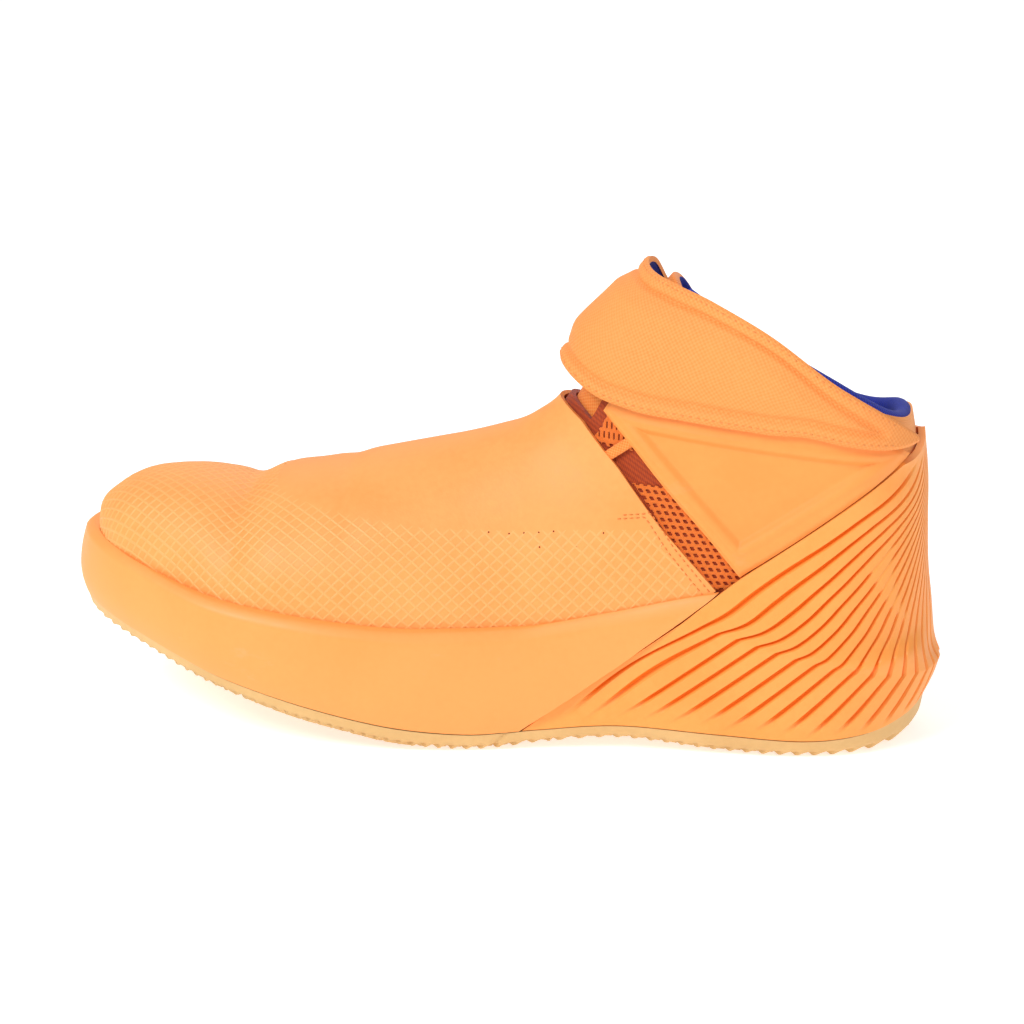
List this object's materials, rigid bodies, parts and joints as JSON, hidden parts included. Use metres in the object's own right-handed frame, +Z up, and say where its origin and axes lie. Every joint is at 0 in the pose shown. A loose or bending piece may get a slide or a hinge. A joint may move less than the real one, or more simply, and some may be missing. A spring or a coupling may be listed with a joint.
{
  "type": "basketball shoe",
  "caption": "High-cut left basketball shoe with a hollow upper, cup sole, ribbed heel cage, smooth forefoot shroud and wide ankle strap; stands empty on its sole.",
  "frame": {"origin": "on the ground under the middle of the shoe's bounding box", "axes": "+X from the heel to the toe, +Y to the outer (lateral) side, +Z up"},
  "size_m": [0.305, 0.1064, 0.1625],
  "materials": {
    "gum_rubber": "matte gum rubber",
    "orange_foam": "satin moulded foam skin",
    "orange_cage": "satin, ribbed",
    "orange_textile": "knit and spacer mesh",
    "orange_synthetic": "fine grain, embossed grid at the toe",
    "insole_fabric": "plain cloth",
    "orange_moulded": "smooth matte",
    "blue_loop": "loop pile",
    "strap_synthetic": "pebbled",
    "orange_cord": "braided cord"
  },
  "bodies": {
    "root": {"outsole": "gum_rubber", "midsole": "orange_foam", "heel_cage": "orange_cage", "bootie": "orange_textile", "vamp_shroud": "orange_synthetic", "tongue": "orange_textile", "insole": "insole_fabric", "quarter_lateral": "orange_moulded", "quarter_medial": "orange_moulded", "loop_patch": "blue_loop", "strap": "strap_synthetic", "lace": "orange_cord"}
  },
  "joints": []
}
